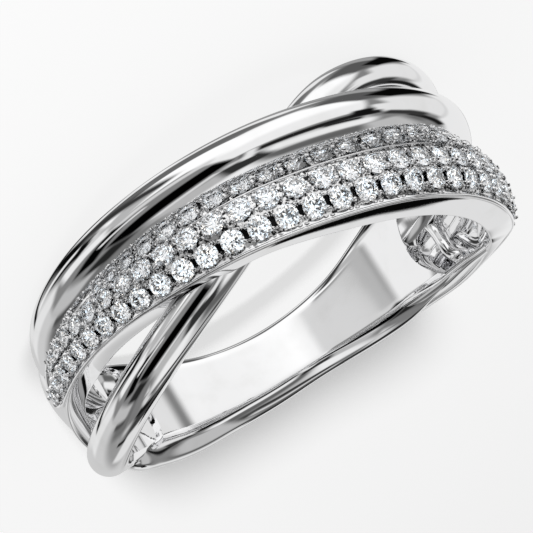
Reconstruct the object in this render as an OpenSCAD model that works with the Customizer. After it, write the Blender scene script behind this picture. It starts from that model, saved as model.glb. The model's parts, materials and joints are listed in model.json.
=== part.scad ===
// A crossover ring: one cast band whose shank parts into a paved bar and two polished wires,
// and the round stones that are set in the bar.
// The ring is drawn with its finger hole round the Z axis and the middle of its head towards -Y.
// It is then leaned until it lies on the flat surface z = 0, as it rests by itself on its side.
// Angles run round the finger hole from the middle of the head: 90 is the shoulder at +X,
// -90 the shoulder at -X, and 180 the back of the shank.

/* [Finger hole] */
// Diameter of the finger hole
bore_d = 17; // [15:0.25:20]

/* [Shank] */
// Thickness of the shank at its back
shank_t = 2.2; // [1.9:0.05:2.4]
// Width of the shank at its back, along the finger hole
shank_w = 4.3; // [3.8:0.1:4.6]

/* [Head] */
// Width of the head from the middle of the shank to its front side
head_front = 4.3; // [4:0.05:4.8]
// Width of the head from the middle of the shank to its back side
head_back = 3.5; // [3.2:0.05:4]
// How far the bar's bottom edge and the upper wire rise over the lower wire
bridge_rise = 0.8; // [0.7:0.05:1]
// How far the bar's rails rise over the lower wire
rail_rise = 0.35; // [0.2:0.05:0.6]

/* [Paved bar] */
// Height of the bar's polished side walls above the finger hole
wall_h = 1.25; // [1.1:0.05:1.5]
// Rise of the paved dome above the rails, as a share of its width
dome_share = 0.16; // [0.12:0.01:0.22]
// Width of the polished rail along the front of the stones
rail_w = 0.16; // [0.12:0.01:0.24]
// Width of the plain strip along the back of the stones, beside the upper wire
strip_w = 0.3; // [0.24:0.01:0.36]
// Thickness of metal left between the hollow under the bar and the rails
plate_t = 0.6; // [0.5:0.05:0.8]
// Thickness of the bar's side walls beside that hollow
skirt_t = 0.55; // [0.45:0.05:0.8]

/* [Wires] */
// Width of the upper wire
upper_wire_w = 2.1; // [1.8:0.05:2.3]
// Thickness of the upper wire
upper_wire_t = 1.9; // [1.6:0.05:2.1]
// Width of the lower wire
lower_wire_w = 1.76; // [1.5:0.02:2]
// Thickness of the lower wire where it runs free
lower_wire_t = 1.76; // [1.5:0.02:2]
// Thickness of the lower wire where it passes under the bar
lower_wire_flat = 1.2; // [1:0.05:1.4]

/* [Stones] */
// Gap between neighbouring stones
stone_gap = 0.13; // [0.12:0.01:0.2]
// Gap between a stone and its seat
seat_gap = 0.03; // [0.02:0.01:0.05]
// Largest diameter of the stones in the three rows
stone_max = 1.05; // [0.9:0.05:1.3]
// Largest diameter of the stones towards the bar's pointed ends
end_stone_d = 0.85; // [0.6:0.05:0.9]
// Width of a stone's table, as a share of its diameter
table_share = 0.58; // [0.5:0.01:0.65]
// Height of a stone's crown, as a share of its diameter
crown_share = 0.15; // [0.1:0.01:0.2]
// Depth of a stone's pavilion, as a share of its diameter
pavilion_share = 0.4; // [0.3:0.01:0.43]

/* [Hidden] */
bore_r = bore_d / 2;
// How far the bar is drawn into the finger hole before the hole is cut
overcut = 0.35;
// How far round sections are drawn into the finger hole, which leaves them flat lands there
wire_land = 0.12;
shank_land = 0.25;
// How far the lower wire is soldered into the strands above it
solder = 0.08;
// Angle between the sections of a strand
station_step = 5.5;
wire_sides = 14;
shank_sides = 16;
dome_steps = 6;
// Hollow under the bar: slant of its inner corners, its least size where it closes at the bar's
// ends, and the half width from which it has its full depth
hollow_slant = 0.1;
hollow_min = 0.03;
hollow_full = 0.5;

// Paved bar: front and back edge are shares of head_front, wall a share of wall_h, rise a share of
// bridge_rise and rail_rise.
//       angle  front  back   wall  rise
PAVED = [[-120, 0.32,  0.00,  0.80, 0.00],
         [-104, 0.57,  0.08,  0.94, 0.00],
         [ -88, 0.76,  0.13,  1.00, 0.00],
         [ -70, 0.90,  0.17,  1.00, 0.00],
         [ -50, 0.97,  0.19,  1.00, 0.00],
         [ -25, 0.99,  0.18,  1.00, 0.00],
         [   0, 0.96,  0.17,  1.00, 0.08],
         [  14, 0.93,  0.16,  1.00, 0.45],
         [  29, 0.88,  0.14,  1.00, 1.00],
         [  46, 0.77,  0.11,  1.00, 0.40],
         [  60, 0.66,  0.07,  1.00, 0.00],
         [  82, 0.51,  0.02,  1.00, 0.00],
         [ 100, 0.41,  0.00,  0.98, 0.00],
         [ 120, 0.26,  0.04,  0.80, 0.00]];
// Upper wire: centre is a share of head_back towards the back side, rise a share of bridge_rise.
//       angle  centre rise
UPPER = [[-132, 0.15, -0.70],
         [-116, 0.26, -0.08],
         [ -95, 0.30,  0.00],
         [ -60, 0.22,  0.10],
         [ -30, 0.03,  0.50],
         [   0,-0.05,  1.05],
         [  20,-0.02,  1.10],
         [  45, 0.09,  0.50],
         [  70, 0.18,  0.10],
         [  95, 0.20,  0.00],
         [ 118, 0.13, -0.08],
         [ 134, 0.08, -0.70]];
// Lower wire: centre is a share of head_front towards the front side, flat tells how much of it
// is thinned to pass under the bar, and sink is the share of its thickness sunk into the shank.
//       angle  centre flat   sink
LOWER = [[-138,-0.10,  0.00,  0.50],
         [-122,-0.29,  0.00,  0.08],
         [-100,-0.54,  0.00,  0.00],
         [ -75,-0.66,  0.00,  0.00],
         [ -50,-0.68,  0.10,  0.00],
         [ -30,-0.61,  0.40,  0.00],
         [ -10,-0.42,  0.90,  0.00],
         [  10, 0.00,  1.00,  0.00],
         [  30, 0.53,  1.00,  0.00],
         [  50, 0.85,  0.60,  0.00],
         [  70, 1.03,  0.15,  0.00],
         [  90, 1.06,  0.00,  0.00],
         [ 110, 0.94,  0.00,  0.00],
         [ 128, 0.68,  0.00,  0.00],
         [ 150, 0.34,  0.00,  0.10]];
// Shank: front and back edge are shares of half shank_w, thick a share of shank_t.
//       angle  front  back   thick
SHANK = [[  88, 0.80,  0.60,  0.06],
         [  94, 0.90,  0.62,  0.26],
         [ 104, 1.10,  0.70,  0.52],
         [ 120, 1.40,  0.82,  0.78],
         [ 140, 1.62,  0.94,  0.88],
         [ 155, 1.36,  1.04,  0.96],
         [ 168, 1.19,  0.95,  1.03],
         [ 180, 1.00,  0.80,  1.00],
         [ 195, 0.86,  0.74,  0.91],
         [ 210, 0.77,  0.80,  0.81],
         [ 225, 0.87,  0.98,  0.79],
         [ 240, 1.08,  1.27,  0.72],
         [ 250, 1.12,  1.33,  0.42],
         [ 257, 1.12,  1.36,  0.05]];

// Cubic curve through one column of a table
function row_at(t, a, i = 0) = (i + 2 >= len(t) || a < t[i + 1][0]) ? i : row_at(t, a, i + 1);
function slope(t, c, i) = let (lo = max(i - 1, 0), hi = min(i + 1, len(t) - 1))
    (t[hi][c] - t[lo][c]) / (t[hi][0] - t[lo][0]);
function hermite(p, q, mp, mq, u) =
    (1 + 2 * u) * pow(1 - u, 2) * p + u * pow(1 - u, 2) * mp
    + u * u * (3 - 2 * u) * q + u * u * (u - 1) * mq;
function at(t, c, a) = let (
        i = row_at(t, a),
        w = t[i + 1][0] - t[i][0],
        u = max(0, min(1, (a - t[i][0]) / w)))
    hermite(t[i][c], t[i + 1][c], slope(t, c, i) * w, slope(t, c, i + 1) * w, u);

// Angles of the sections of a strand, from the first to the last row of its table
function stations(t) = let (
        from = t[0][0],
        to = t[len(t) - 1][0],
        n = ceil((to - from) / station_step))
    [for (i = [0 : n]) from + (to - from) * i / n];

// A point of the section at an angle: z along the finger hole, r away from its axis
function ring_point(a, zr) = [zr[1] * sin(a), -zr[1] * cos(a), zr[0]];
function ring_section(a, section) = [for (zr = section) ring_point(a, zr)];
function mean(v) = v * [for (x = v) 1] / len(v);

// Solid through a list of closed sections, each with the same number of points
module loft(sections) {
    n = len(sections[0]);
    m = len(sections);
    ends = [for (s = [sections[0], sections[m - 1]]) [for (k = [0 : 2]) mean([for (p = s) p[k]])]];
    points = concat([for (s = sections) each s], ends);
    sides = [for (i = [0 : m - 2], j = [0 : n - 1], h = [0, 1])
        let (k = (j + 1) % n, lo = i * n, hi = lo + n)
        h == 0 ? [lo + j, lo + k, hi + k] : [lo + j, hi + k, hi + j]];
    caps = [for (j = [0 : n - 1], h = [0, 1]) let (k = (j + 1) % n, last = (m - 1) * n)
        h == 0 ? [m * n, k, j] : [m * n + 1, last + j, last + k]];
    polyhedron(points, concat(sides, caps));
}

// Wall and dome of the paved bar
function bar_front(a) = head_front * at(PAVED, 1, a);
function bar_back(a) = head_front * at(PAVED, 2, a);
function bar_rise(a) = max(0, at(PAVED, 4, a));
function rail_r(a) = bore_r + wall_h * at(PAVED, 3, a) + rail_rise * bar_rise(a);
function dome_chord(a) = bar_front(a) - bar_back(a) - rail_w - strip_w;
function dome_rise(a) = dome_share * dome_chord(a);
function dome_radius(a) = pow(dome_chord(a), 2) / (8 * dome_rise(a)) + dome_rise(a) / 2;
function dome_half(a) = asin(dome_chord(a) / 2 / dome_radius(a));
function dome_arc(a) = dome_radius(a) * dome_half(a) * PI / 90;
// Point of the dome at t, from -1 at the back strip to 1 at the front rail
function dome_point(a, t) = let (
        mid = (bar_front(a) - rail_w + bar_back(a) + strip_w) / 2,
        turn = t * dome_half(a),
        centre = rail_r(a) + dome_rise(a) - dome_radius(a))
    [mid + dome_radius(a) * sin(turn), centre + dome_radius(a) * cos(turn)];

function bar_section(a) = let (
        front = bar_front(a),
        back = bar_back(a),
        mid = (front + back) / 2,
        low = bore_r - overcut + bar_rise(a) * (bridge_rise + overcut),
        top = rail_r(a),
        half = max(hollow_min, (front - back) / 2 - skirt_t),
        half_in = max(hollow_min / 2, half - hollow_slant),
        under = low + max(hollow_min, (top - plate_t - low) * min(1, half / hollow_full)))
    [[back, low], [back, top],
     for (i = [0 : dome_steps]) dome_point(a, 2 * i / dome_steps - 1),
     [front, top], [front, low],
     [mid + half, low], [mid + half_in, under], [mid - half_in, under], [mid - half, low]];

module paved_bar() {
    loft(bar_sections);
}

// Slope of a strand's centre against the way round the finger hole, which widens its section
function widened(t, c, size, r, a) = let (da = 2)
    sqrt(1 + pow(size * (at(t, c, a + da) - at(t, c, a - da)) / (2 * da * r * PI / 180), 2));

function oval(z, r, w, t, sides) = [for (i = [0 : sides - 1])
    let (turn = -360 * i / sides)
    [z + w / 2 * cos(turn), r + t / 2 * sin(turn)]];

function upper_section(a) = let (
        r = bore_r - wire_land + upper_wire_t / 2 + bridge_rise * at(UPPER, 2, a),
        w = upper_wire_w * widened(UPPER, 1, head_back, r, a))
    oval(-head_back * at(UPPER, 1, a), r, w, upper_wire_t, wire_sides);

module upper_wire() {
    loft(upper_sections);
}

function lower_section(a) = let (
        flat = max(0, min(1, at(LOWER, 2, a))),
        sunk = lower_wire_t * max(0, at(LOWER, 3, a)),
        t = lower_wire_t + (lower_wire_flat - lower_wire_t) * flat,
        top = (lower_wire_t - wire_land) * (1 - flat) + (bridge_rise + solder) * flat - sunk,
        r = bore_r + top - t / 2,
        w = lower_wire_w * widened(LOWER, 1, head_front, r, a))
    oval(head_front * at(LOWER, 1, a), r, w, t, wire_sides);

module lower_wire() {
    loft(lower_sections);
}

function shank_section(a) = let (
        front = shank_w / 2 * at(SHANK, 1, a),
        back = -shank_w / 2 * at(SHANK, 2, a),
        t = shank_t * at(SHANK, 3, a))
    oval((front + back) / 2, bore_r + (t - shank_land) / 2, front - back, t + shank_land, shank_sides);

module shank() {
    loft(shank_sections);
}

// Sections of the four strands
bar_sections = [for (a = stations(PAVED)) ring_section(a, bar_section(a))];
upper_sections = [for (a = stations(UPPER)) ring_section(a, upper_section(a))];
lower_sections = [for (a = stations(LOWER)) ring_section(a, lower_section(a))];
shank_sections = [for (a = stations(SHANK)) ring_section(a, shank_section(a))];

// The ring lies on three points: the lower wire, the upper wire and the shank, each at its angle
lower_wire_rest = -38;
upper_wire_rest = 91;
shank_rest = 152;
function lowest(points) = [for (p = points) if (p[2] == min([for (q = points) q[2]])) p][0];
rest_a = lowest(ring_section(lower_wire_rest, lower_section(lower_wire_rest)));
rest_b = lowest(ring_section(upper_wire_rest, upper_section(upper_wire_rest)));
rest_c = lowest(ring_section(shank_rest, shank_section(shank_rest)));
// Square to the plane through them, upwards, and the turns about X and then Y that make it upright
up = cross(rest_b - rest_a, rest_c - rest_a);
lean_x = atan2(up[1], up[2]);
lean_y = -atan2(up[0], norm([up[1], up[2]]));
lean_rows = [[cos(lean_y), sin(lean_x) * sin(lean_y), cos(lean_x) * sin(lean_y)],
             [0, cos(lean_x), -sin(lean_x)],
             [-sin(lean_y), sin(lean_x) * cos(lean_y), cos(lean_x) * cos(lean_y)]];
leaned = [for (s = [bar_sections, upper_sections, lower_sections, shank_sections], section = s, p = section)
    lean_rows * p];
function least(k) = min([for (p = leaned) p[k]]);
function most(k) = max([for (p = leaned) p[k]]);

// Puts the ring on its side, with the origin under the middle of its box
module laid_down() {
    translate([-(least(0) + most(0)) / 2, -(least(1) + most(1)) / 2, -least(2)])
        rotate([lean_x, lean_y, 0])
            children();
}

// Runs of stones: three rows along most of the bar, then two, then one towards its pointed ends
//      from   to  rows
RUNS = [[-97.4, 53, 3],
        [ 57.6, 96, 2],
        [101,  106, 1]];
function stone_d(a, rows) = min(rows == 3 ? stone_max : end_stone_d, dome_arc(a) / rows - stone_gap);
function row_t(row, rows) = (2 * row + 1) / rows - 1;
function row_angles(a, to, row, rows) = a > to ? [] :
    let (pitch = (stone_d(a, rows) + stone_gap) / dome_point(a, row_t(row, rows))[1] * 180 / PI)
    concat([a], row_angles(a + pitch, to, row, rows));
stones_at = [for (run = RUNS, row = [0 : run[2] - 1], a = row_angles(run[0], run[1], row, run[2]))
    [a, row_t(row, run[2]), stone_d(a, run[2])]];

// A stone's place: its girdle in the dome's surface and its axis square to it
module on_bar(a, t) {
    p = dome_point(a, t);
    turn = t * dome_half(a);
    rotate([0, 0, a - 90]) translate([p[1], 0, p[0]]) rotate([0, 90 - turn, 0]) children();
}

facets = 8;
girdle_share = 0.05;
// How far a seat is open above the stone's girdle, and its extra depth in seat gaps, which keeps
// the gap all the way down the cone
seat_open = 0.2;
seat_deeper = 1.5;
// Round solid of eight flat facets a row, through the given radii and heights, down to a point
module cut_stone(rings, culet_z) {
    n = facets;
    m = len(rings);
    points = concat([for (ring = rings, i = [0 : n - 1])
        [ring[0] * cos(360 * i / n), ring[0] * sin(360 * i / n), ring[1]]], [[0, 0, culet_z]]);
    table = [for (i = [0 : n - 1]) m * n - 1 - i];
    rows = [for (k = [0 : m - 2], i = [0 : n - 1])
        [k * n + i, (k + 1) * n + i, (k + 1) * n + (i + 1) % n, k * n + (i + 1) % n]];
    pavilion = [for (i = [0 : n - 1]) [i, (i + 1) % n, m * n]];
    polyhedron(points, concat([table], rows, pavilion));
}

// A stone with its girdle at z = 0
module stone(d) {
    cut_stone([[d / 2, -girdle_share * d], [d / 2, 0], [table_share * d / 2, crown_share * d]],
        -pavilion_share * d);
}

// The seat is the stone's lower half grown by the gap, open above the girdle
module seat(d) {
    r = d / 2 + seat_gap;
    cut_stone([[r, -girdle_share * d], [r, seat_open]], -pavilion_share * d - seat_deeper * seat_gap);
}

module band() {
    color("gainsboro")
        laid_down()
            difference() {
                union() {
                    shank();
                    paved_bar();
                    upper_wire();
                    lower_wire();
                }
                for (s = stones_at) on_bar(s[0], s[1]) seat(s[2]);
                cylinder(r = bore_r, h = 2 * bore_d, $fn = 180, center = true);
            }
}

module stones() {
    color("aliceblue")
        laid_down()
            for (s = stones_at) on_bar(s[0], s[1]) stone(s[2]);
}

band();
stones();
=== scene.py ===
import json
import math

import bmesh
import bpy
from mathutils import Euler, Matrix, Vector


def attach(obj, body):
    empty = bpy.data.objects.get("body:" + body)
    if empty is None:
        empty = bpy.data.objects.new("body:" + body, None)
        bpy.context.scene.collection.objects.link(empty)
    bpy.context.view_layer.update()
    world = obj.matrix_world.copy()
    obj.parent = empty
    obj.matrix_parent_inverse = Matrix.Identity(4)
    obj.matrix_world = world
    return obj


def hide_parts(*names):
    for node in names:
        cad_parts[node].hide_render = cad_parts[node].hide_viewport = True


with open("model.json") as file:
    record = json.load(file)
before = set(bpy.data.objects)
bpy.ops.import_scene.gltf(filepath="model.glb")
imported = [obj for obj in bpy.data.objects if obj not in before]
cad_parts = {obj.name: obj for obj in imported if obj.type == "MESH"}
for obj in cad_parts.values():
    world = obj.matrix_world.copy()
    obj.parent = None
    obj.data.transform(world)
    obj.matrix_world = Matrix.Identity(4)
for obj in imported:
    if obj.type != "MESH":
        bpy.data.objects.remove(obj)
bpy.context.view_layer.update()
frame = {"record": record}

print("frame loaded")

# The ring is modelled in millimetres round its own hole axis, then leaned and put in place.
# Angles run round the hole: 0 is the middle of the head, 90 and -90 are the shoulders.
ring = {"boreR": 8.5, "cutterSides": 360, "cutterLong": 30}
holeMount = frame["record"]["mounts"][0]
holeAxis = Vector(holeMount["axis"])
ringPlace = Vector(holeMount["pos_m"])
ringLean = Euler((-math.asin(holeAxis.y), math.atan2(holeAxis.x, holeAxis.z), 0)).to_matrix()
intoPlace = Matrix.Translation(ringPlace) @ ringLean.to_4x4() @ Matrix.Scale(0.001, 4)


def curveThrough(table, column, angle):
    # smooth cubic through one column of a table whose first column is the angle
    i = 0
    while i + 2 < len(table) and angle >= table[i + 1][0]:
        i += 1

    def slopeAt(k):
        lo, hi = max(k - 1, 0), min(k + 1, len(table) - 1)
        return (table[hi][column] - table[lo][column]) / (table[hi][0] - table[lo][0])

    width = table[i + 1][0] - table[i][0]
    u = min(1, max(0, (angle - table[i][0]) / width))
    a, b = table[i][column], table[i + 1][column]
    ma, mb = slopeAt(i) * width, slopeAt(i + 1) * width
    return ((1 + 2 * u) * (1 - u) ** 2 * a + u * (1 - u) ** 2 * ma
            + u * u * (3 - 2 * u) * b + u * u * (u - 1) * mb)


def anglesBetween(start, stop, step):
    count = math.ceil((stop - start) / step)
    return [start + (stop - start) * i / count for i in range(count + 1)]


def anglesOver(table, step):
    return anglesBetween(table[0][0], table[-1][0], step)


def onRing(angle, z, r):
    turn = math.radians(angle)
    return Vector((r * math.sin(turn), -r * math.cos(turn), z))


def deselectAll():
    for item in bpy.context.selected_objects:
        item.select_set(False)


def makeActive(item):
    deselectAll()
    item.select_set(True)
    bpy.context.view_layer.objects.active = item


def applyModifiers(item):
    makeActive(item)
    for modifier in list(item.modifiers):
        bpy.ops.object.modifier_apply(modifier=modifier.name)


def pickVertices(item, wanted):
    # in edit mode: selects the vertices for which wanted(place) holds, and nothing else
    work = bmesh.from_edit_mesh(item.data)
    for part in (*work.verts, *work.edges, *work.faces):
        part.select_set(False)
    for vertex in work.verts:
        if wanted(vertex.co):
            vertex.select_set(True)
    work.select_flush_mode()
    bmesh.update_edit_mesh(item.data)


def turnSelected(degrees):
    # round the hole's axis; without a window the rotate operator turns the other way
    bpy.ops.transform.rotate(value=-math.radians(degrees), orient_axis="Z", center_override=(0, 0, 0))


def turnObject(item, degrees):
    item.rotation_euler = [math.radians(d) for d in degrees]
    bpy.ops.object.transform_apply()


def roundSection(sides, turn=0):
    # a section one wide and one thick, standing in the plane y = 0
    deselectAll()
    bpy.ops.mesh.primitive_circle_add(vertices=sides, radius=0.5, fill_type="NGON")
    turnObject(bpy.context.object, (0, 0, turn))
    turnObject(bpy.context.object, (90, 0, 0))


def sweepStrand(name, places):
    # places: one (angle, z, r, width, thickness) for each section; the section is always shaped in
    # the plane y = 0, and the finished part of the strand is turned away from it
    strand = bpy.context.object
    strand.name = strand.data.name = name
    bpy.ops.object.mode_set(mode="EDIT")
    bpy.ops.mesh.select_mode(type="FACE")
    bpy.ops.mesh.select_all(action="SELECT")
    angle, z, r, width, thick = places[0]
    bpy.ops.transform.resize(value=(thick, 1, width), center_override=(0, 0, 0))
    bpy.ops.transform.translate(value=(r, 0, z))
    for place in places[1:]:
        nextAngle, nextZ, nextR, nextWidth, nextThick = place
        bpy.ops.mesh.extrude_region_move(TRANSFORM_OT_translate={"value": (nextR - r, 0, nextZ - z)})
        bpy.ops.transform.resize(value=(nextThick / thick, 1, nextWidth / width),
                                 center_override=(nextR, 0, nextZ))
        bpy.ops.mesh.select_mode(type="VERT")
        bpy.ops.mesh.select_all(action="INVERT")
        turnSelected(angle - nextAngle)
        bpy.ops.mesh.select_all(action="INVERT")
        bpy.ops.mesh.select_mode(type="FACE")
        angle, z, r, width, thick = place
    bpy.ops.mesh.select_all(action="SELECT")
    turnSelected(angle - 90)
    bpy.ops.mesh.normals_make_consistent(inside=False)
    bpy.ops.object.mode_set(mode="OBJECT")
    return strand


def smoothStrand(strand, levels=2):
    smooth = strand.modifiers.new("smooth", "SUBSURF")
    smooth.levels = smooth.render_levels = levels
    applyModifiers(strand)


def cutFingerHole(strand, deeper):
    # a little deeper than the hole, so that no two strands share a face there
    deselectAll()
    bpy.ops.mesh.primitive_cylinder_add(vertices=ring["cutterSides"], radius=ring["boreR"] + deeper,
                                        depth=ring["cutterLong"])
    cutter = bpy.context.object
    cut = strand.modifiers.new("fingerHole", "BOOLEAN")
    cut.operation, cut.solver, cut.object = "DIFFERENCE", "EXACT", cutter
    applyModifiers(strand)
    bpy.data.objects.remove(cutter)


def finishPiece(piece, angle=35):
    # leans the piece with the ring, brings it to metres and leaves its object at the origin
    makeActive(piece)
    bpy.ops.object.shade_smooth_by_angle(angle=math.radians(angle))
    piece.matrix_world = intoPlace @ piece.matrix_world
    bpy.ops.object.transform_apply()


def smoothedGain(sides):
    # smoothing draws a section in from its corners, so it starts out this much larger
    return 3 / (2 + math.cos(2 * math.pi / sides))


shank = {
    "thick": 2.2, "width": 4.3, "sides": 20, "flatAt": 0.36, "step": 5,
    "hollowSides": 32, "hollowStep": 0.6, "hollowDeep": 1.1,
    # angle, front and back edge as shares of half the width, thickness as a share
    "shape": [(92, 0.78, 0.60, 0.20), (100, 0.82, 0.62, 0.44), (106, 0.84, 0.66, 0.64),
              (113, 0.86, 0.76, 0.80), (120, 0.93, 0.82, 0.84), (130, 1.15, 0.88, 0.86),
              (140, 1.52, 0.94, 0.88), (155, 1.36, 1.04, 0.96), (168, 1.19, 0.95, 1.03),
              (180, 1.00, 0.80, 1.00), (195, 0.86, 0.74, 0.91), (210, 0.77, 0.80, 0.81),
              (225, 0.86, 0.98, 0.79), (238, 0.98, 1.24, 0.72), (248, 1.03, 1.33, 0.46),
              (257, 1.12, 1.36, 0.20), (266, 1.24, 1.30, 0.14), (276, 1.34, 1.20, 0.08)],
    # hollows under both shoulders: angle, back and front edge, top above the finger hole
    "leftHollow": [(88, -1.0, 2.6, 0.25), (100, -1.1, 2.6, 0.5), (108, -1.2, 2.7, 0.85),
                   (120, -1.4, 2.9, 1.1), (130, -1.5, 3.0, 1.25), (138, -1.6, 2.9, 1.3),
                   (145, -1.55, 2.75, 1.25), (149, -1.3, 2.5, 1.1), (151.5, -0.8, 2.1, 0.85),
                   (152.8, -0.1, 1.5, 0.55)],
    "rightHollow": [(252.6, 0.0, 0.4, 0.5), (253.1, -0.5, 0.7, 0.7), (254.5, -1.1, 1.15, 0.75),
                    (256, -1.5, 1.5, 0.8), (258.4, -1.85, 1.97, 0.8), (263, -2.1, 2.55, 0.8),
                    (270, -2.2, 2.9, 0.8), (282, -2.2, 3.2, 0.8)],
}


def shankPlace(angle):
    front = shank["width"] / 2 * curveThrough(shank["shape"], 1, angle)
    back = -shank["width"] / 2 * curveThrough(shank["shape"], 2, angle)
    thick = shank["thick"] * curveThrough(shank["shape"], 3, angle)
    gain = smoothedGain(shank["sides"])
    size = thick / (shank["flatAt"] + 0.5 / gain)
    return angle, (front + back) / 2, ring["boreR"] + shank["flatAt"] * size, (front - back) * gain, size


def flatInside(flatAt):
    # presses the quarter of the section that faces the finger flat
    section = bpy.context.object
    bpy.ops.object.mode_set(mode="EDIT")
    bpy.ops.mesh.select_mode(type="VERT")
    pickVertices(section, lambda place: place.x < -0.25)
    bpy.ops.transform.resize(value=(0, 1, 1), center_override=(-flatAt, 0, 0))
    bpy.ops.object.mode_set(mode="OBJECT")


def hollowPlace(table, angle):
    back, front, top = (curveThrough(table, column, angle) for column in (1, 2, 3))
    low = ring["boreR"] - shank["hollowDeep"]
    return angle, (back + front) / 2, (low + ring["boreR"] + top) / 2, front - back, ring["boreR"] + top - low


def cutHollow(strand, name):
    table = shank[name]
    roundSection(shank["hollowSides"])
    cutter = sweepStrand(name, [hollowPlace(table, a) for a in anglesOver(table, shank["hollowStep"])])
    cut = strand.modifiers.new(name, "BOOLEAN")
    cut.operation, cut.solver, cut.object = "DIFFERENCE", "EXACT", cutter
    applyModifiers(strand)
    bpy.data.objects.remove(cutter)


roundSection(shank["sides"])
flatInside(shank["flatAt"])
shankPiece = sweepStrand("shank", [shankPlace(a) for a in anglesOver(shank["shape"], shank["step"])])
smoothStrand(shankPiece)
cutHollow(shankPiece, "leftHollow")
cutHollow(shankPiece, "rightHollow")
print("shank made")

head = {"front": 4.3, "back": 3.5, "bridgeRise": 0.8, "railRise": 0.35}
upperWire = {
    "width": 2.1, "thick": 1.9, "land": 0.12, "sides": 16, "step": 5, "cutDeeper": 0.01,
    # angle, centre as a share of the head's back half, rise as a share of the bridge's rise
    "shape": [(-132, 0.15, -0.70), (-116, 0.26, -0.08), (-95, 0.30, 0.00), (-60, 0.22, 0.10),
              (-30, 0.03, 0.50), (0, -0.05, 1.05), (20, -0.02, 1.10), (45, 0.09, 0.50),
              (70, 0.18, 0.10), (92, 0.20, 0.00), (106, 0.18, -0.16), (118, 0.13, -0.42), (134, 0.08, -0.90)],
}


def slantWidening(shape, column, size, r, angle):
    # a strand that runs askew shows a wider section in a plane through the hole's axis
    rise = size * (curveThrough(shape, column, angle + 2) - curveThrough(shape, column, angle - 2))
    return math.hypot(1, rise / (4 * r * math.radians(1)))


def upperWirePlace(angle):
    shape, gain = upperWire["shape"], smoothedGain(upperWire["sides"])
    rise = head["bridgeRise"] * curveThrough(shape, 2, angle)
    r = ring["boreR"] - upperWire["land"] + upperWire["thick"] / 2 + rise
    width = upperWire["width"] * slantWidening(shape, 1, head["back"], r, angle)
    return (angle, -head["back"] * curveThrough(shape, 1, angle), r, width * gain, upperWire["thick"] * gain)


roundSection(upperWire["sides"])
upperWirePiece = sweepStrand("upperWire",
                             [upperWirePlace(a) for a in anglesOver(upperWire["shape"], upperWire["step"])])
smoothStrand(upperWirePiece)
cutFingerHole(upperWirePiece, upperWire["cutDeeper"])
print("upper wire made")

lowerWire = {
    "width": 1.76, "thick": 1.76, "flatThick": 1.2, "land": 0.12, "solder": 0.08, "sides": 16, "step": 5,
    "cutDeeper": 0.02,
    # angle, centre as a share of the head's front half, share thinned to pass under the bar, sunk share
    "shape": [(-138, -0.10, 0.00, 0.50), (-122, -0.29, 0.00, 0.08), (-100, -0.54, 0.00, 0.00),
              (-75, -0.66, 0.00, 0.00), (-50, -0.68, 0.10, 0.00), (-30, -0.61, 0.40, 0.00),
              (-10, -0.42, 0.90, 0.00), (10, 0.00, 1.00, 0.00), (30, 0.53, 1.00, 0.00),
              (50, 0.85, 0.60, 0.00), (70, 1.03, 0.15, 0.00), (90, 1.06, 0.00, 0.00),
              (110, 0.94, 0.00, 0.00), (128, 0.68, 0.00, 0.00), (150, 0.34, 0.00, 0.10)],
}


def lowerWirePlace(angle):
    shape, gain = lowerWire["shape"], smoothedGain(lowerWire["sides"])
    flat = min(1, max(0, curveThrough(shape, 2, angle)))
    sunk = lowerWire["thick"] * max(0, curveThrough(shape, 3, angle))
    thick = lowerWire["thick"] + (lowerWire["flatThick"] - lowerWire["thick"]) * flat
    onShank, underBar = lowerWire["thick"] - lowerWire["land"], head["bridgeRise"] + lowerWire["solder"]
    top = onShank * (1 - flat) + underBar * flat - sunk
    r = ring["boreR"] + top - thick / 2
    width = lowerWire["width"] * slantWidening(shape, 1, head["front"], r, angle)
    return (angle, head["front"] * curveThrough(shape, 1, angle), r, width * gain, thick * gain)


roundSection(lowerWire["sides"])
lowerWirePiece = sweepStrand("lowerWire",
                             [lowerWirePlace(a) for a in anglesOver(lowerWire["shape"], lowerWire["step"])])
smoothStrand(lowerWirePiece)
cutFingerHole(lowerWirePiece, lowerWire["cutDeeper"])
print("lower wire made")

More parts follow.
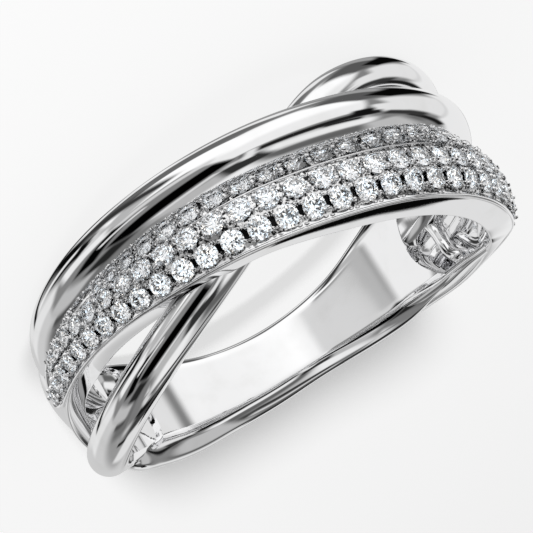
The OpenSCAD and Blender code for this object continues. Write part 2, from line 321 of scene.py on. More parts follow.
bar = {
    "wallHeight": 1.25, "wallThick": 0.5, "edgeRound": 0.09, "step": 4, "lowGap": 0.03,
    # back wall: its run, how far it sits below the rail, and how its low edge lifts off towards the shank
    "backRun": (-110, 104), "backSunk": 0.02, "backLift": 0.7, "liftFrom": -62, "liftOver": 24,
    # rails round the stones, broader from tipFrom on
    "railWidth": 0.16, "stripWidth": 0.16, "railSunk": 0.04, "railSides": 8,
    "railRun": (-119, 113), "railStep": 3,
    "tipRail": 0.8, "tipFrom": 102, "tipOver": 7,
    # paved plate
    "domeShare": 0.16, "plateShare": 0.2, "plateSunk": 0.1, "arcSteps": 14,
    "plateRun": (-118, 112), "plateStep": 2,
    # angle, front and back edge as shares of the head's front half, wall height share, rise share
    "shape": [(-120, 0.38, 0.32, 0.80, 0.00), (-117, 0.43, 0.25, 0.84, 0.00), (-112, 0.49, 0.15, 0.88, 0.00),
              (-104, 0.57, 0.09, 0.93, 0.00), (-96, 0.62, 0.11, 0.96, 0.00), (-88, 0.68, 0.13, 0.98, 0.00),
              (-78, 0.77, 0.15, 1.00, 0.00), (-70, 0.85, 0.17, 1.00, 0.00), (-62, 0.925, 0.18, 1.00, 0.00),
              (-50, 0.97, 0.19, 1.00, 0.00), (-25, 0.99, 0.18, 1.00, 0.00),
              (0, 0.96, 0.17, 1.00, 0.08), (14, 0.93, 0.16, 1.00, 0.45), (29, 0.88, 0.14, 1.00, 1.00),
              (46, 0.77, 0.11, 1.00, 0.40), (60, 0.66, 0.07, 1.00, 0.00), (82, 0.51, 0.01, 1.02, 0.00),
              (98, 0.43, -0.02, 1.12, 0.00), (106, 0.38, 0.01, 1.20, 0.00), (110, 0.32, 0.07, 1.24, 0.00),
              (113, 0.24, 0.17, 1.27, 0.00)],
    # the polished side face runs on past the stones: angle, face as a share of the head's front half,
    # lower and upper edge above the finger hole
    "face": [(-132, 0.36, 0.74, 0.96), (-126, 0.40, 0.76, 1.06), (-120, 0.45, 0.78, 1.14),
             (-112, 0.51, 0.80, 1.17), (-104, 0.58, 0.80, 1.18), (-96, 0.63, 0.78, 1.20),
             (-88, 0.68, 0.70, 1.22), (-82, 0.73, 0.58, 1.24), (-76, 0.785, 0.42, 1.25),
             (-70, 0.85, 0.24, 1.25), (-64, 0.91, 0.08, 1.25), (-58, 0.945, 0.03, 1.25)],
    "faceTip": [(82, 0.51, 0.03, 1.27), (94, 0.45, 0.08, 1.34), (101, 0.43, 0.36, 1.40),
                (108, 0.43, 0.62, 1.48), (117, 0.455, 0.76, 1.56), (126, 0.50, 0.84, 1.62),
                (136, 0.58, 0.88, 1.55), (144, 0.64, 0.80, 1.40)],
}


def barEdges(angle):
    # front edge, back edge, rail height and underside of the bar at an angle
    front, back, height, rise = (curveThrough(bar["shape"], column, angle) for column in (1, 2, 3, 4))
    rise = max(0, rise)
    rail = ring["boreR"] + bar["wallHeight"] * height + head["railRise"] * rise
    low = ring["boreR"] + bar["lowGap"] + rise * head["bridgeRise"]
    return head["front"] * front, head["front"] * back, rail, low


def domeAt(angle):
    # middle, chord, radius, half opening and centre height of the paved dome
    front, back, rail, low = barEdges(angle)
    chord = front - back - bar["railWidth"] - bar["stripWidth"]
    rise = bar["domeShare"] * chord
    radius = chord * chord / (8 * rise) + rise / 2
    middle = (front - bar["railWidth"] + back + bar["stripWidth"]) / 2
    return middle, chord, radius, math.asin(chord / 2 / radius), rail + rise - radius


def domePoint(angle, across, lift=0):
    # across runs from -1 at the back strip to 1 at the front rail; second value is the way outwards
    middle, chord, radius, half, centre = domeAt(angle)
    turn = across * half
    spot = onRing(angle, middle + (radius + lift) * math.sin(turn), centre + (radius + lift) * math.cos(turn))
    return spot, onRing(angle, math.sin(turn), math.cos(turn))


def facePlace(angle):
    # section of the front wall, whose outer face is the bar's polished side
    for table in (bar["face"], bar["faceTip"]):
        if table[0][0] <= angle <= table[-1][0]:
            front, low, top = (curveThrough(table, column, angle) for column in (1, 2, 3))
            return wallSection(angle, head["front"] * front, ring["boreR"] + low, ring["boreR"] + top, -1)
    front, back, rail, low = barEdges(angle)
    return wallSection(angle, front, low, rail, -1)


def wallSection(angle, edge, low, top, inwards):
    # the square section is one wide from corner to corner, so its sides are grown to their size
    return (angle, edge + inwards * bar["wallThick"] / 2, (top + low) / 2,
            bar["wallThick"] * math.sqrt(2), (top - low) * math.sqrt(2))


def rampUp(way):
    # 0 up to the start of a stretch, 1 from its end on
    return min(1, max(0, way))


def backPlace(angle):
    front, back, rail, low = barEdges(angle)
    lift = bar["backLift"] * rampUp((bar["liftFrom"] - angle) / bar["liftOver"])
    return wallSection(angle, back, low + lift, rail - bar["backSunk"], 1)


def barWall(name, places):
    roundSection(4, 45)
    wall = sweepStrand(name, places)
    rounding = wall.modifiers.new("rounding", "BEVEL")
    rounding.width, rounding.segments, rounding.limit_method = bar["edgeRound"], 2, "ANGLE"
    smoothStrand(wall)
    return wall


faceRun = bar["face"][0][0], bar["faceTip"][-1][0]
frontWall = barWall("frontWall", [facePlace(a) for a in anglesBetween(*faceRun, bar["step"])])
backWall = barWall("backWall", [backPlace(a) for a in anglesBetween(*bar["backRun"], bar["step"])])
print("bar walls made")


def railPlace(angle, isFront):
    # thin bright edge round the stones, broader round the tip
    front, back, rail, low = barEdges(angle)
    broader = 1 + bar["tipRail"] * rampUp((angle - bar["tipFrom"]) / bar["tipOver"])
    thin = bar["railWidth"] * smoothedGain(bar["railSides"]) * broader
    z = front - bar["railWidth"] / 2 if isFront else back + bar["stripWidth"] / 2
    return angle, z, rail - bar["railSunk"], thin, thin


def barRail(name, isFront):
    roundSection(bar["railSides"])
    rail = sweepStrand(name, [railPlace(a, isFront) for a in anglesBetween(*bar["railRun"], bar["railStep"])])
    smoothStrand(rail)
    return rail


frontRail = barRail("frontRail", True)
backRail = barRail("backRail", False)
print("rails made")

lip = {
    "sides": 12, "step": 4, "ridgeSides": 10,
    # rounded lip under the narrow end of the side face: angle, z, radius, width, thickness
    "shape": [(-150, 0.70, 8.98, 0.40, 0.60), (-141, 0.80, 8.96, 0.62, 0.76), (-133, 1.06, 8.96, 0.78, 0.86),
              (-120, 1.50, 8.98, 0.78, 0.92), (-112, 1.80, 9.00, 0.74, 0.96), (-104, 2.12, 9.02, 0.68, 0.98),
              (-96, 2.36, 9.04, 0.60, 0.96), (-90, 2.58, 9.12, 0.50, 0.78), (-84, 2.86, 9.24, 0.42, 0.52),
              (-78, 3.10, 9.36, 0.30, 0.32)],
    # metal that closes the gap between the paved bar and the upper wire, in the same columns
    "web": [(-112, 0.1, 9.4, 1.6, 0.5), (-104, 0.1, 9.5, 1.9, 0.6), (-90, 0.2, 9.66, 1.9, 0.6),
            (-76, 0.3, 9.7, 1.5, 0.5), (-66, 0.35, 9.75, 0.5, 0.3)],
    # ridge across the hollow: angle, z, radius, half its thickness
    "ridge": [(-101.5, -1.3, 9.4, 0.3), (-100.2, -0.8, 9.26, 0.4), (-98.2, -0.2, 9.2, 0.42),
              (-97.4, 0.4, 9.16, 0.37), (-97.8, 0.9, 9.16, 0.36), (-97.2, 1.4, 9.16, 0.43),
              (-95.6, 1.75, 9.16, 0.5), (-94.9, 2.05, 9.18, 0.46), (-94.8, 2.25, 9.2, 0.2)],
}


def lipPlace(table, angle):
    gain = smoothedGain(lip["sides"])
    z, r, wide, thick = (curveThrough(table, column, angle) for column in (1, 2, 3, 4))
    return angle, z, r, wide * gain, thick * gain


def lipStrand(name, table):
    roundSection(lip["sides"])
    strand = sweepStrand(name, [lipPlace(table, a) for a in anglesOver(table, lip["step"])])
    smoothStrand(strand)
    return strand


def hollowRidge():
    # a round of points drawn out along the hole axis
    places = [(onRing(angle, z, r), half) for angle, z, r, half in lip["ridge"]]
    start, half = places[0]
    deselectAll()
    bpy.ops.mesh.primitive_circle_add(vertices=lip["ridgeSides"], radius=half, fill_type="NGON",
                                      location=start)
    ridge = bpy.context.object
    ridge.name = ridge.data.name = "hollowRidge"
    bpy.ops.object.transform_apply()
    bpy.ops.object.mode_set(mode="EDIT")
    bpy.ops.mesh.select_mode(type="FACE")
    bpy.ops.mesh.select_all(action="SELECT")
    for (spot, half), (nextSpot, nextHalf) in zip(places, places[1:]):
        bpy.ops.mesh.extrude_region_move(TRANSFORM_OT_translate={"value": nextSpot - spot})
        bpy.ops.transform.resize(value=(nextHalf / half, nextHalf / half, 1), center_override=nextSpot)
    bpy.ops.mesh.select_all(action="SELECT")
    bpy.ops.mesh.normals_make_consistent(inside=False)
    bpy.ops.object.mode_set(mode="OBJECT")
    smoothStrand(ridge)
    return ridge


nearLip = lipStrand("nearLip", lip["shape"])
web = lipStrand("web", lip["web"])
ridgeInHollow = hollowRidge()
print("lip and ridge made")


def domeSection():
    # arc of the dome with its chord one long, drawn out downwards to the plate's thickness
    share = bar["domeShare"]
    radius = 1 / (8 * share) + share / 2
    half = math.asin(0.5 / radius)
    deselectAll()
    bpy.ops.mesh.primitive_circle_add(vertices=4, radius=0.5, rotation=(math.pi / 2, 0, 0))
    arc = bpy.context.object
    bpy.ops.object.transform_apply()
    bpy.ops.object.mode_set(mode="EDIT")
    bpy.ops.mesh.select_mode(type="VERT")
    pickVertices(arc, lambda place: place.z > -0.4)
    bpy.ops.mesh.delete(type="VERT")
    bpy.ops.mesh.select_all(action="SELECT")
    bpy.ops.mesh.spin(steps=bar["arcSteps"], angle=2 * half, center=(share - radius, 0, 0), axis=(0, 1, 0))
    bpy.ops.mesh.select_all(action="SELECT")
    bpy.ops.mesh.remove_doubles(threshold=0.0001)
    bpy.ops.mesh.select_all(action="SELECT")
    bpy.ops.mesh.extrude_region_move(TRANSFORM_OT_translate={"value": (-bar["plateShare"], 0, 0)})
    bpy.ops.object.mode_set(mode="OBJECT")


def platePlace(angle):
    # the arc is one long, so the chord is the size both ways
    front, back, rail, low = barEdges(angle)
    middle, chord, radius, half, centre = domeAt(angle)
    return (angle, middle, rail - bar["plateSunk"], chord, chord)


domeSection()
pavePlate = sweepStrand("pavePlate",
                        [platePlace(a) for a in anglesBetween(*bar["plateRun"], bar["plateStep"])])
print("pave plate made")

ridge = {"run": (-24, 70), "step": 3, "sides": 8, "across": -0.37, "wide": 0.1, "lift": -0.01, "fadeOver": 10,
         "thinnest": 0.2}


def ridgePlace(angle):
    # fine ridge between two rows, thinner towards both ends
    spot = domePoint(angle, ridge["across"], ridge["lift"])[0]
    start, stop = ridge["run"]
    fade = min(1, (angle - start) / ridge["fadeOver"] + ridge["thinnest"],
               (stop - angle) / ridge["fadeOver"] + ridge["thinnest"])
    return angle, spot.z, spot.xy.length, ridge["wide"] * fade, ridge["wide"] * fade


roundSection(ridge["sides"])
rowRidge = sweepStrand("rowRidge", [ridgePlace(a) for a in anglesBetween(*ridge["run"], ridge["step"])])
smoothStrand(rowRidge)
print("fine ridge made")

stone = {
    "table": 0.57, "girdle": 0.025, "crown": 0.15, "clear": 0.02, "rimStep": 0.004, "spin": 37,
    "crownTilt": 33, "upperTilt": 41, "starTilt": 20, "pavilionTilt": 40.5, "lowerTilt": 42.5,
    # diameters along the bar
    "sizes": [(-110, 0.55), (-90, 0.74), (-60, 0.88), (-20, 0.93), (30, 0.93), (60, 0.87), (80, 0.82),
              (95, 0.78), (106, 0.64)],
    # rows: the angle of one stone, the last ones both ways, the gap to the next stone, and the place
    # across the dome and a share of the diameter along the bar
    "rows": [{"one": 0.5, "from": -101, "to": 99, "gap": 0.2,
              "across": [(-101, 0.5, 1), (-60, 0.6, 1), (0, 0.61, 1), (60, 0.61, 1), (80, 0.53, 1),
                         (99, 0.46, 1)]},
             {"one": 2.2, "from": -98, "to": 97, "gap": 0.22,
              "across": [(-98, -0.42, 1), (-60, -0.02, 1), (0, 0.03, 1), (60, -0.16, 1), (80, -0.36, 1),
                         (97, -0.5, 0.92)]},
             {"one": -2.0, "from": -90, "to": 86, "gap": 0.25,
              "across": [(-90, -0.9, 0.7), (-60, -0.72, 0.95), (0, -0.7, 1), (45, -0.74, 0.9),
                         (62, -0.84, 0.72), (86, -1, 0.6)]}],
    # stones at both ends of the bar: angle, place across
    "tips": [(105.5, 0.35), (105, -0.4), (-106, 0)],
}


def stoneLayout():
    # each stone as (angle, place across, diameter), dropped where it would touch one already placed
    placed = []

    def tryStone(angle, across, d):
        spot = domePoint(angle, across)[0]
        if all((spot - other[3]).length > (d + other[2]) / 2 + stone["clear"] for other in placed):
            placed.append((angle, across, d, spot))

    for row in stone["rows"]:
        for way in (1, -1):
            angle = row["one"]
            while row["from"] <= angle <= row["to"]:
                across = curveThrough(row["across"], 1, angle)
                d = curveThrough(stone["sizes"], 1, angle) * curveThrough(row["across"], 2, angle)
                tryStone(angle, across, d)
                angle += way * math.degrees((d + row["gap"]) / domePoint(angle, across)[0].xy.length)
    for angle, across in stone["tips"]:
        tryStone(angle, across, curveThrough(stone["sizes"], 1, angle))
    return placed


stones = stoneLayout()
print("stones laid out:", len(stones))


def facet(tilt, turn, reach, height):
    # grinds one flat: the plane leans by tilt from the table's, faces turn and passes through a point
    lean, way = math.radians(tilt), math.radians(turn)
    point = (reach * math.cos(way), reach * math.sin(way), height)
    normal = (math.sin(lean) * math.cos(way), math.sin(lean) * math.sin(way), math.cos(lean))
    bpy.ops.mesh.select_all(action="SELECT")
    bpy.ops.mesh.bisect(plane_co=point, plane_no=normal, use_fill=True, clear_outer=True, threshold=0.00001)


def cutStone():
    # one brilliant of diameter 1 with its girdle round z = 0, ground from a round blank
    main, small = 360 / 8, 360 / 16
    corner = 0.5 / math.cos(math.pi / 16)
    inset = math.cos(math.radians(small / 2))
    tableCorner = stone["table"] / 2 * math.cos(math.radians(main / 2))
    deselectAll()
    bpy.ops.mesh.primitive_cylinder_add(vertices=16, radius=corner, depth=1.2, rotation=(0, 0, math.pi / 16))
    cut = bpy.context.object
    cut.name = cut.data.name = "stoneCut"
    bpy.ops.object.transform_apply()
    bpy.ops.object.mode_set(mode="EDIT")
    bpy.ops.mesh.select_mode(type="FACE")
    top, rim = stone["crown"], stone["girdle"] / 2
    facet(0, 0, 0, top)
    for i in range(8):
        facet(stone["crownTilt"], main * i, 0.5, rim)
    for i in range(16):
        facet(stone["upperTilt"], small * i + small / 2, 0.5 * inset, rim - stone["rimStep"])
    for i in range(8):
        facet(stone["starTilt"], main * i + main / 2, tableCorner, top)
    for i in range(8):
        facet(180 - stone["pavilionTilt"], main * i, 0.5, -rim)
    for i in range(16):
        facet(180 - stone["lowerTilt"], small * i + small / 2, 0.5 * inset, -rim + stone["rimStep"])
    bpy.ops.mesh.select_all(action="SELECT")
    bpy.ops.mesh.remove_doubles(threshold=0.0005)
    bpy.ops.object.mode_set(mode="OBJECT")
    return cut


def standOn(angle, across, lift, scale, spin=0):
    # place for something that stands on the dome with its own z outwards and its x along the bar
    spot, out = domePoint(angle, across, lift)
    along = onRing(angle + 90, 0, 1)
    side = out.cross(along).normalized()
    turn = Matrix((along, side, out)).transposed().to_4x4()
    return Matrix.Translation(spot) @ turn @ Matrix.Rotation(spin, 4, "Z") @ Matrix.Scale(scale, 4)


def copiesOf(item, name, places):
    # one mesh of its own for each place, then all of them joined into one piece
    copies = []
    for place in places:
        copy = item.copy()
        copy.data = item.data.copy()
        bpy.context.collection.objects.link(copy)
        copy.data.transform(place)
        copies.append(copy)
    deselectAll()
    for copy in copies:
        copy.select_set(True)
    bpy.context.view_layer.objects.active = copies[0]
    bpy.ops.object.join()
    copies[0].name = copies[0].data.name = name
    bpy.data.objects.remove(item)
    return copies[0]


stoneCut = cutStone()
print("stone faces", len(stoneCut.data.polygons))
stonePlaces = [standOn(angle, across, 0, d, math.radians(stone["spin"] * i))
               for i, (angle, across, d, spot) in enumerate(stones)]
paveStones = copiesOf(stoneCut, "paveStones", stonePlaces)
print("stones made")

# sizes of a seat are shares of the stone's diameter, but for the gap
seat = {"gap": 0.02, "above": 0.4, "cone": 0.32, "below": 1.2, "hole": 0.28, "sides": 16}


def seatCutter():
    # straight above the girdle, a cone below it and a small hole right through the plate
    deselectAll()
    bpy.ops.mesh.primitive_circle_add(vertices=seat["sides"], radius=0.5, fill_type="NGON",
                                      location=(0, 0, seat["above"]))
    cutter = bpy.context.object
    bpy.ops.object.transform_apply()
    bpy.ops.object.mode_set(mode="EDIT")
    bpy.ops.mesh.select_mode(type="FACE")
    bpy.ops.mesh.select_all(action="SELECT")
    for drop, share in ((seat["above"], 1), (seat["cone"], seat["hole"]), (seat["below"], 1)):
        bpy.ops.mesh.extrude_region_move(TRANSFORM_OT_translate={"value": (0, 0, -drop)})
        bpy.ops.transform.resize(value=(share, share, 1), center_override=(0, 0, 0))
    bpy.ops.mesh.select_all(action="SELECT")
    bpy.ops.mesh.normals_make_consistent(inside=False)
    bpy.ops.object.mode_set(mode="OBJECT")
    return cutter


pavePlate.data.materials.clear()
cutters = copiesOf(seatCutter(), "seatCutters",
                   [standOn(angle, across, 0, d + 2 * seat["gap"]) for angle, across, d, spot in stones])
drill = pavePlate.modifiers.new("seats", "BOOLEAN")
drill.operation, drill.solver, drill.object, drill.use_self = "DIFFERENCE", "EXACT", cutters, True
applyModifiers(pavePlate)
bpy.data.objects.remove(cutters)


# where the plate's faces count as its top, and the middle of the front row, which is painted dark as shade,
# as shares of the chord
frontRow = {"outwards": 0.8, "from": 0.21, "to": 0.37}


def groundOf(face):
    # 0 inside the seats and below, 1 on the dome with its specks of painted shade, 2 along the middle of the
    # front row with a stripe of painted shade
    place = face.center
    if face.normal.dot(Vector((place.x, place.y, 0)).normalized()) < frontRow["outwards"]:
        return 0
    middle, chord, radius, half, centre = domeAt(math.degrees(math.atan2(place.x, -place.y)))
    return 2 if frontRow["from"] * chord < place.z - middle < frontRow["to"] * chord else 1


groundKinds = [groundOf(face) for face in pavePlate.data.polygons]
print("seats drilled", len(pavePlate.data.polygons))

bead = {"r": 0.115, "tall": 1.5, "reach": 0.05, "lift": 0.03, "apart": 0.15, "clear": 0.03,
        "ways": (32, 148, 212, 328)}


def beadSpots():
    # four round each stone, left out where a stone or another bead is in the way
    spots = []
    for angle, across, d, spot in stones:
        place = standOn(angle, across, 0, 1)
        for turn in bead["ways"]:
            way, reach = math.radians(turn), d / 2 + bead["reach"]
            at = place @ Vector((reach * math.cos(way), reach * math.sin(way), bead["lift"]))
            clear = all((at - other[3]).length > other[2] / 2 + bead["clear"] for other in stones)
            if clear and all((at - other[0]).length > bead["apart"] for other in spots):
                spots.append((at, place.to_3x3() @ Vector((0, 0, 1))))
    return spots


beadPlaces = [Matrix.Translation(at) @ out.to_track_quat("Z", "Y").to_matrix().to_4x4()
              for at, out in beadSpots()]
deselectAll()
bpy.ops.mesh.primitive_uv_sphere_add(segments=8, ring_count=5, radius=bead["r"])
bpy.ops.transform.resize(value=(1, 1, bead["tall"]))
bpy.ops.object.transform_apply()
beads = copiesOf(bpy.context.object, "beads", beadPlaces)
print("beads made", len(beadPlaces))


class Sock:
    # a socket that can be added, multiplied, taken from a number and so on; each sign adds a Math node
    def __init__(self, shader, socket):
        self.shader, self.socket = shader, socket

    def worked(self, operation, first, second=0):
        return self.shader.node("ShaderNodeMath", {"operation": operation}, {0: first, 1: second})

    def __add__(self, other):
        return self.worked("ADD", self, other)

    def __rsub__(self, other):
        return self.worked("SUBTRACT", other, self)

    def __mul__(self, other):
        return self.worked("MULTIPLY", self, other)

    def __abs__(self):
        return self.worked("ABSOLUTE", self)

    __radd__ = __add__


class Shader:
    # the node tree of a material or of the world, emptied
    def __init__(self, owner):
        owner.use_nodes = True
        self.tree = owner.node_tree
        self.tree.nodes.clear()

    def node(self, kind, settings, sockets, out=0):
        made = self.tree.nodes.new(kind)
        for name, value in settings.items():
            setattr(made, name, value)
        for key, value in sockets.items():
            if isinstance(value, Sock):
                self.tree.links.new(value.socket, made.inputs[key])
            else:
                made.inputs[key].default_value = value
        return Sock(self, made.outputs[out]) if made.outputs else made

    def noise(self, scale, detail, places):
        return self.node("ShaderNodeTexNoise", {}, {"Vector": places, "Scale": scale, "Detail": detail})

    def spread(self, value, low, high, toLow, toHigh):
        return self.node("ShaderNodeMapRange", {"interpolation_type": "SMOOTHSTEP"}, {
            "Value": value, "From Min": low, "From Max": high, "To Min": toLow, "To Max": toHigh})

    def mixed(self, share, first, second):
        # sockets 6 and 7 are the colours, output 2 the mixed colour
        return self.node("ShaderNodeMix", {"data_type": "RGBA"}, {0: share, 6: first, 7: second}, out=2)


polish = {"colour": (0.94, 0.94, 0.945, 1), "dull": (0.90, 0.90, 0.90, 1), "roughness": 0.02, "extra": 0.03,
          "smudgeScale": 900, "smudges": (0.45, 0.75),
          "grainScale": 14000, "grain": 0.02, "grainDeep": 0.00001}


def polishedMetal(name, sizes):
    # mirror polish with faint hazy patches and polishing grain
    metal = bpy.data.materials.new(name)
    shader = Shader(metal)
    places = shader.node("ShaderNodeTexCoord", {}, {}, out=3)
    haze = shader.spread(shader.noise(sizes["smudgeScale"], 3, places), *sizes["smudges"], 0, 1)
    grain = shader.noise(sizes["grainScale"], 2, places)
    bump = shader.node("ShaderNodeBump", {}, {
        "Strength": sizes["grain"], "Distance": sizes["grainDeep"], "Height": grain})
    surface = shader.node("ShaderNodeBsdfPrincipled", {}, {
        "Base Color": shader.mixed(haze, sizes["colour"], sizes["dull"]), "Metallic": 1.0,
        "Roughness": haze * sizes["extra"] + sizes["roughness"], "Normal": bump})
    shader.node("ShaderNodeOutputMaterial", {}, {"Surface": surface})
    return metal


# the dark colours in these tables are painted shade between the stones
ground = {
    "specks": {"dark": (0.03, 0.03, 0.031, 1), "bright": (0.93, 0.93, 0.93, 1), "scale": 6500,
               "edge": (0.415, 0.485)},
    # mostly dark: a stripe of painted shade along the middle of the front row
    "frontRowShade": {"dark": (0.02, 0.02, 0.021, 1), "bright": (0.85, 0.85, 0.85, 1), "scale": 5000,
             "edge": (0.59, 0.66)},
}
groundFinish = {"roughness": 0.3, "brighter": 0.15, "strength": 0.5, "deep": 0.00003}


def groundWithPaintedShade(name, sizes):
    # hand-cut metal between the stones: bright specks of metal among dark patches of painted shade
    metal = bpy.data.materials.new(name)
    shader = Shader(metal)
    places = shader.node("ShaderNodeTexCoord", {}, {}, out=3)
    specks = shader.noise(sizes["scale"], 2, places)
    bright = shader.spread(specks, *sizes["edge"], 0, 1)
    bump = shader.node("ShaderNodeBump", {}, {
        "Strength": groundFinish["strength"], "Distance": groundFinish["deep"], "Height": specks})
    # the dark colour mixed in where the noise is low is painted shade
    surface = shader.node("ShaderNodeBsdfPrincipled", {}, {
        "Base Color": shader.mixed(bright, sizes["dark"], sizes["bright"]), "Metallic": 1.0,
        "Roughness": groundFinish["roughness"] - bright * groundFinish["brighter"], "Normal": bump})
    shader.node("ShaderNodeOutputMaterial", {}, {"Surface": surface})
    return metal


cutGlass = {"ior": 2.42, "clear": (1, 1, 1, 1), "tinted": (0.93, 0.96, 1, 1), "tintScale": 700}


def clearStone():
    gem = bpy.data.materials.new("clearStone")
    shader = Shader(gem)
    places = shader.node("ShaderNodeTexCoord", {}, {}, out=3)
    tint = shader.mixed(shader.noise(cutGlass["tintScale"], 0, places), cutGlass["clear"], cutGlass["tinted"])
    surface = shader.node("ShaderNodeBsdfPrincipled", {}, {
        "Base Color": tint, "Roughness": 0.0, "IOR": cutGlass["ior"], "Transmission Weight": 1.0})
    shader.node("ShaderNodeOutputMaterial", {}, {"Surface": surface})
    return gem


metal = polishedMetal("polishedMetal", polish)
speckedShade, paintedRowShade = (groundWithPaintedShade(kind, ground[kind]) for kind in ("specks", "frontRowShade"))
gem = clearStone()
for piece in (shankPiece, upperWirePiece, lowerWirePiece, frontWall, backWall, frontRail, backRail, rowRidge,
              nearLip, web, ridgeInHollow, pavePlate, beads):
    piece.data.materials.clear()
    piece.data.materials.append(metal)
    finishPiece(piece)
    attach(piece, "root")
pavePlate.data.materials.append(speckedShade)
pavePlate.data.materials.append(paintedRowShade)
# dome faces take the specks with painted shade, the middle of the front row its stripe of painted shade
for face, kind in zip(pavePlate.data.polygons, groundKinds):
    face.material_index = kind
paveStones.data.materials.clear()
paveStones.data.materials.append(gem)
finishPiece(paveStones, 1)  # every facet stays flat
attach(paveStones, "root")
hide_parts("band")
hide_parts("stones")
print("materials on")

# the photo's view, in the ring's own directions: metres and millimetres of lens
photoView = {"distance": 0.12306, "focal": 201.8, "nearest": 0.01, "aimRight": 0.000166, "aimUp": 0.000137,
             "right": (-0.8445, -0.2393, 0.4791), "up": (-0.2783, -0.5683, -0.7743),
             "away": (-0.4576, 0.7872, -0.4134)}
bpy.ops.object.camera_add()
camera = bpy.context.object
right, up, away = (ringLean @ Vector(photoView[k]) for k in ("right", "up", "away"))
eye = ringPlace - away * photoView["distance"]
aim = ringPlace + right * photoView["aimRight"] + up * photoView["aimUp"]
look = (aim - eye).normalized()
side = look.cross(up).normalized()
camera.matrix_world = Matrix.Translation(eye) @ Matrix((side, side.cross(look), -look)).transposed().to_4x4()
camera.data.lens = photoView["focal"]
camera.data.clip_start = photoView["nearest"]
bpy.context.scene.camera = camera
print("camera placed")

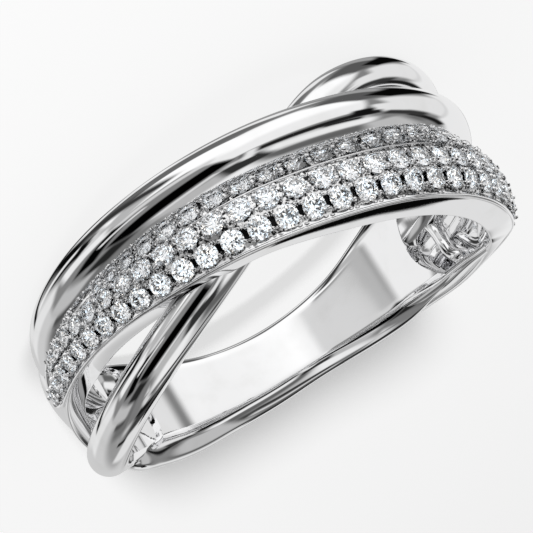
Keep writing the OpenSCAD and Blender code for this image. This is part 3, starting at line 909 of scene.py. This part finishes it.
studio = {
    "floorSize": 0.6, "floorColour": (0.93, 0.93, 0.93, 1), "floorTint": (0.92, 0.92, 0.92, 1),
    "floorPatches": 40, "floorRoughness": 0.9,
    # how strong the floor's own glow is, the even light on it, and the colour past its edge
    "glow": 0.335, "fill": 0.09, "backdrop": 0.90,
    # soft lights: way round, height, distance, size and power; only the shank throws a shadow
    "lights": [("key", -60, 75, 1.2, 0.5, 2.8), ("low", -60, 16, 1.2, 0.16, 21)],
    # what the cut stones throw back: sharp bright and dark patches with a little colour
    "sparkle": {"scale": 5.5, "dim": 0.12, "bright": 2.0, "edge": (0.46, 0.54),
                "fireScale": 9.35, "fireEdge": (0.4, 0.6), "cold": (0.78, 0.9, 1.0, 1),
                "warm": (1.0, 0.93, 0.84, 1)},
    # how bright the polish looks between the cards, how white the whitest card is, and the picture's curve
    "between": 0.5, "whitest": 1.07, "curve": 2.2,
    # soft boxes and dark panels that the polish mirrors, in degrees: way round, height, half width,
    # half height, tilt, soft edge, and how bright each one looks from 0 to 1; later ones lie over earlier
    "cards": [
        # below and above
        (0, -90, 24, 24, 0, 10, 0.4), (0, 90, 20, 20, 0, 10, 0.7),
        # broad panels high up
        (-110, 72, 60, 12, 0, 8, 0.38), (30, 76, 40, 14, 0, 8, 0.92),
        # in front of the head, low
        (-100, -25, 45, 36, 0, 3, 0.92), (-105, -40, 38, 18, 0, 8, 1),
        # between the head and the +X shoulder, low
        (-38, -54, 27, 19, 0, 3, 1), (-28, -26, 27, 5, 0, 3, 0.82), (-10, -42, 10, 12, 35, 4, 0.7),
        # in front of the head, high
        (-97, 44, 42, 15, 0, 5, 0.78), (-118, 46, 30, 9, 0, 5, 0.92), (-24, 50, 20, 14, 0, 6, 0.7),
        (-58, 46, 13, 15, 0, 4, 0.2),
        # dark band along the wires and the bright line that splits it
        (-27, 12, 31, 13, -14, 3, 0.03), (5, -8, 18, 8, -40, 3, 0.04), (-8, -12, 13, 2.5, -8, 1.5, 0.85),
        # towards the +X shoulder, low
        (15, -30, 14, 9, -12, 3, 0.92), (14, -45, 6, 8, -20, 3, 0.8), (38, -48, 13, 6, -14, 3, 0.1),
        (30, -68, 40, 7, 0, 5, 0.22), (72, -57, 36, 6, 0, 3, 0.06), (106, -64, 8, 12, 0, 4, 0.15),
        # behind the ring on its +X side
        (80, -8, 40, 36, 0, 4, 0.78), (78, 20, 32, 12, 0, 9, 0.58), (60, -25, 22, 9, 0, 4, 0.88),
        (97, -36, 20, 7, 10, 3, 0.87), (98, -47, 24, 3.5, 28, 2, 0.06), (55, -47, 14, 3.5, -38, 2, 0.9),
        # behind the ring on its -X side
        (143, -6, 22, 27, 0, 4, 0.9), (126, -22, 5, 5, 0, 3, 0.74), (127, -13, 10, 1.6, 55, 1.5, 0.15),
        (138, -68, 24, 8, 0, 3, 0.9), (121, -45, 3, 24, 0, 2, 0.95), (152, -45, 24, 8, -12, 4, 0.6),
        # towards the -X shoulder
        (-165, -38, 16, 14, 0, 4, 0.34), (174, -31, 18, 7, -4, 2, 0.06), (-157, 8, 11, 12, 0, 3, 0.88),
        (-176, -2, 20, 18, 0, 4, 0.87), (168, 25, 16, 3, -5, 2, 0.12), (-170, 22, 14, 5, 0, 3, 0.22),
        # narrow bars in front of the head
        (-108, 23, 42, 6.5, 0, 3, 0.14), (-140, 14, 7, 9, 0, 3, 0.1), (-68, 24, 4, 13, 20, 3, 0.88),
        # behind the ring, high
        (115, 52, 24, 20, 0, 6, 0.24), (70, 38, 8, 5, 0, 4, 0.74), (112, 60, 16, 7, 0, 5, 0.5),
        (112, 24, 15, 12, 0, 3, 0.86), (118, 34.2, 6, 4.8, 0, 0.6, 0.06), (87, 29, 6, 2.2, -30, 1.5, 0.15),
        (122, 60, 12, 3, 0, 2, 0.8), (122, 48, 9, 3, 0, 2, 0.3), (128, 70, 14, 4, 0, 3, 0.2),
        (90, 50, 10, 3.5, 0, 2, 0.1), (67, 57, 9, 3, 0, 2, 0.8), (28, 52, 9, 3, -30, 2, 0.9),
        (165, 45, 22, 10, 0, 4, 0.72),
        # towards the +X shoulder, high
        (35, 30, 28, 14, 0, 6, 0.42), (15, 26, 10, 10, 0, 4, 0.16), (47, 22, 4, 9, 0, 3, 0.3),
        (35, 14, 8, 17, 0, 4, 0.72), (40, 48, 22, 7, 0, 4, 0.47),
        # two last bars in front
        (-129, 30, 12, 4, 0, 3, 0.16), (-26, 33, 17, 3.5, -14, 2, 0.82),
    ],
}


def wayTo(around, height):
    turn, rise = math.radians(around), math.radians(height)
    return Vector((math.cos(rise) * math.cos(turn), math.cos(rise) * math.sin(turn), math.sin(rise)))


def asLight(shown):
    # how strong a light is that looks this bright in the picture
    return studio["whitest"] * shown ** studio["curve"]


def studioWorld():
    # the polish mirrors the cards, everything else is lit by an even pale light
    world = bpy.data.worlds.new("studio")
    bpy.context.scene.world = world
    shader = Shader(world)
    way = shader.node("ShaderNodeTexCoord", {}, {})
    light = asLight(studio["between"])

    def along(axis):
        return shader.node("ShaderNodeVectorMath", {"operation": "DOT_PRODUCT"}, {0: way, 1: axis}, out=1)

    def within(across, ahead, half, soft):
        angle = shader.node("ShaderNodeMath", {"operation": "ARCTAN2"}, {0: abs(along(across)), 1: ahead})
        return shader.spread(angle, math.radians(half - soft), math.radians(half + soft), 1, 0)

    for around, height, halfWide, halfHigh, tilt, soft, shown in studio["cards"]:
        middle, level = wayTo(around, height), wayTo(around + 90, 0)
        leaning = Matrix.Rotation(math.radians(-tilt), 3, middle)
        wide, high = leaning @ level, leaning @ middle.cross(level)
        ahead = along(middle)
        mask = within(wide, ahead, halfWide, soft) * within(high, ahead, halfHigh, soft)
        light = light + mask * (asLight(shown) - light)
    sparkle = studio["sparkle"]
    patches = shader.spread(shader.noise(sparkle["scale"], 1, way), *sparkle["edge"],
                            sparkle["dim"], sparkle["bright"])
    fire = shader.mixed(shader.spread(shader.noise(sparkle["fireScale"], 0, way), *sparkle["fireEdge"], 0, 1),
                        sparkle["cold"], sparkle["warm"])

    def background(colour, strength):
        return shader.node("ShaderNodeBackground", {}, {"Color": colour, "Strength": strength})

    def onlyFor(kind, shown, otherwise):
        isKind = shader.node("ShaderNodeLightPath", {}, {}, out=kind)
        return shader.node("ShaderNodeMixShader", {}, {0: isKind, 1: otherwise, 2: shown})

    white = (1, 1, 1, 1)
    sky = onlyFor("Is Transmission Ray", background(fire, patches), background(white, light))
    sky = onlyFor("Is Diffuse Ray", background(white, studio["fill"]), sky)
    sky = onlyFor("Is Camera Ray", background(white, studio["backdrop"]), sky)
    shader.node("ShaderNodeOutputWorld", {}, {"Surface": sky})
    world.cycles.sampling_method = "NONE"  # nothing but the polish and the stones looks at the cards


def palePaper():
    paper = bpy.data.materials.new("palePaper")
    shader = Shader(paper)
    places = shader.node("ShaderNodeTexCoord", {}, {}, out=3)
    tone = shader.mixed(shader.noise(studio["floorPatches"], 2, places),
                        studio["floorColour"], studio["floorTint"])
    surface = shader.node("ShaderNodeBsdfPrincipled", {}, {
        "Base Color": tone, "Roughness": studio["floorRoughness"], "Specular IOR Level": 0.0,
        "Emission Color": tone, "Emission Strength": studio["glow"]})
    shader.node("ShaderNodeOutputMaterial", {}, {"Surface": surface})
    return paper


studioWorld()
deselectAll()
bpy.ops.mesh.primitive_circle_add(vertices=64, radius=studio["floorSize"], fill_type="NGON")
floor = bpy.context.object
floor.name = floor.data.name = "paleFloor"
floor.data.materials.append(palePaper())
floor.visible_glossy = False
holdsBack = bpy.data.collections.new("holdsBack")
holdsBack.objects.link(shankPiece)
for name, around, height, distance, wide, power in studio["lights"]:
    spot = wayTo(around, height) * distance
    bpy.ops.object.light_add(type="AREA", location=spot)
    light = bpy.context.object
    light.name = light.data.name = name
    light.data.shape, light.data.size, light.data.energy = "DISK", wide, power
    light.rotation_euler = (-spot).to_track_quat("-Z", "Y").to_euler()
    light.visible_glossy = light.visible_transmission = False
    light.light_linking.blocker_collection = holdsBack
scene = bpy.context.scene
scene.view_settings.view_transform = "Standard"
scene.cycles.use_denoising = True
scene.cycles.glossy_bounces = 10
scene.cycles.diffuse_bounces = 1
scene.cycles.caustics_reflective = scene.cycles.caustics_refractive = False
print("studio lit")
